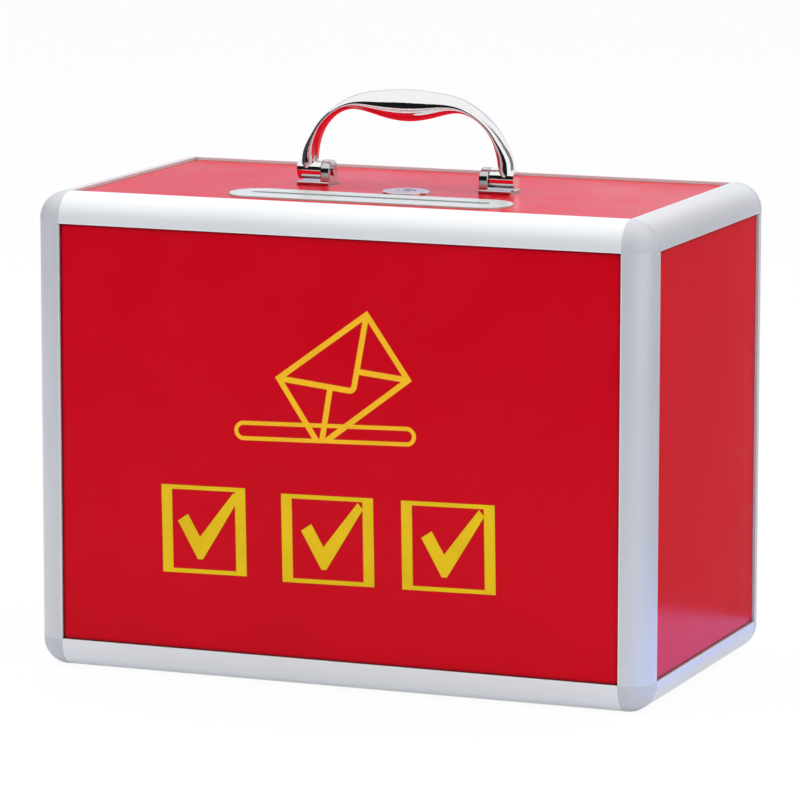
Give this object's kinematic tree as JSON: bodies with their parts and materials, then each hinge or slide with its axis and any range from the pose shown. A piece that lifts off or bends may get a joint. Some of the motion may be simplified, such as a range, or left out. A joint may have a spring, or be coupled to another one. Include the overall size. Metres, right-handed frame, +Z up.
{
  "type": "ballot box",
  "caption": "Portable ballot box: red laminate panels in rounded aluminium edge rails, with a lockable voting slot, a folding handle and a lockable rear door.",
  "frame": {"origin": "middle of the box in plan, on the surface that its bottom rails rest on", "axes": "+X to the right along the front, +Y from the printed front to the rear door, +Z up"},
  "size_m": [0.36, 0.204, 0.3194],
  "materials": {
    "red_laminate": "high-gloss red laminate face",
    "rail_aluminium": "satin anodised extrusion",
    "corner_silver": "satin silver casting",
    "slot_plate_aluminium": "satin pressed plate",
    "handle_chrome": "bright chrome plate",
    "lock_chrome": "dull nickel-chrome plate",
    "rivet_aluminium": "plain mill finish",
    "zinc_steel": "zinc-plated steel"
  },
  "bodies": {
    "case": {"bracket_screws": "zinc_steel", "corner_back_left_bottom": "corner_silver", "corner_back_left_top": "corner_silver", "corner_back_right_bottom": "corner_silver", "corner_back_right_top": "corner_silver", "corner_front_left_bottom": "corner_silver", "corner_front_left_top": "corner_silver", "corner_front_right_bottom": "corner_silver", "corner_front_right_top": "corner_silver", "door_stop_frame": "zinc_steel", "handle_backing_plate_left": "zinc_steel", "handle_backing_plate_right": "zinc_steel", "handle_bracket_left": "handle_chrome", "handle_bracket_right": "handle_chrome", "handle_pin_left": "handle_chrome", "handle_pin_right": "handle_chrome", "hinge_leaf_case": "zinc_steel", "hinge_pin": "zinc_steel", "hinge_rivets_case": "rivet_aluminium", "panel_back": "red_laminate", "panel_bottom": "red_laminate", "panel_front": "red_laminate", "panel_left": "red_laminate", "panel_right": "red_laminate", "panel_top": "red_laminate", "post_back_left": "rail_aluminium", "post_back_right": "rail_aluminium", "post_front_left": "rail_aluminium", "post_front_right": "rail_aluminium", "rail_back_bottom": "rail_aluminium", "rail_back_top": "rail_aluminium", "rail_front_bottom": "rail_aluminium", "rail_front_top": "rail_aluminium", "rail_left_bottom": "rail_aluminium", "rail_left_top": "rail_aluminium", "rail_right_bottom": "rail_aluminium", "rail_right_top": "rail_aluminium", "shutter_guide_left": "zinc_steel", "shutter_guide_right": "zinc_steel", "slot_lock_body": "lock_chrome", "slot_lock_nut": "zinc_steel", "slot_plate": "slot_plate_aluminium"},
    "handle": {"handle_grip": "handle_chrome"},
    "slot_lock": {"slot_lock_plug": "lock_chrome", "slot_lock_cam": "zinc_steel", "slot_lock_cam_nut": "zinc_steel"},
    "shutter": {"slot_shutter": "zinc_steel"},
    "door": {"door_panel": "red_laminate", "hinge_leaf_door": "zinc_steel", "hinge_rivets_door": "rivet_aluminium", "door_lock_body": "lock_chrome", "door_lock_nut": "zinc_steel"},
    "door_lock": {"door_lock_plug": "lock_chrome", "door_lock_cam": "zinc_steel", "door_lock_cam_nut": "zinc_steel"}
  },
  "joints": [
    {"name": "handle_fold", "type": "hinge", "parent": "case", "child": "handle", "pos_m": [0, 0.0065, 0.2724], "axis": [1, 0, 0], "range_deg": [-84, 82]},
    {"name": "slot_lock_turn", "type": "hinge", "parent": "case", "child": "slot_lock", "pos_m": [0.008, -0.0165, 0.2644], "axis": [0, 0, -1], "range_deg": [0, 90]},
    {"name": "shutter_slide", "type": "slide", "parent": "case", "child": "shutter", "axis": [0, -1, 0], "range_m": [0, 0.0175]},
    {"name": "door_swing", "type": "hinge", "parent": "case", "child": "door", "pos_m": [0.1123, 0.1, 0.133], "axis": [0, 0, -1], "range_deg": [0, 110]},
    {"name": "door_lock_turn", "type": "hinge", "parent": "door", "child": "door_lock", "pos_m": [-0.092, 0.1004, 0.133], "axis": [0, 1, 0], "range_deg": [0, 90]}
  ],
  "couplings": [
    {"joint": "shutter_slide", "follows": "slot_lock_turn", "m_per_rad": 0.010804}
  ]
}
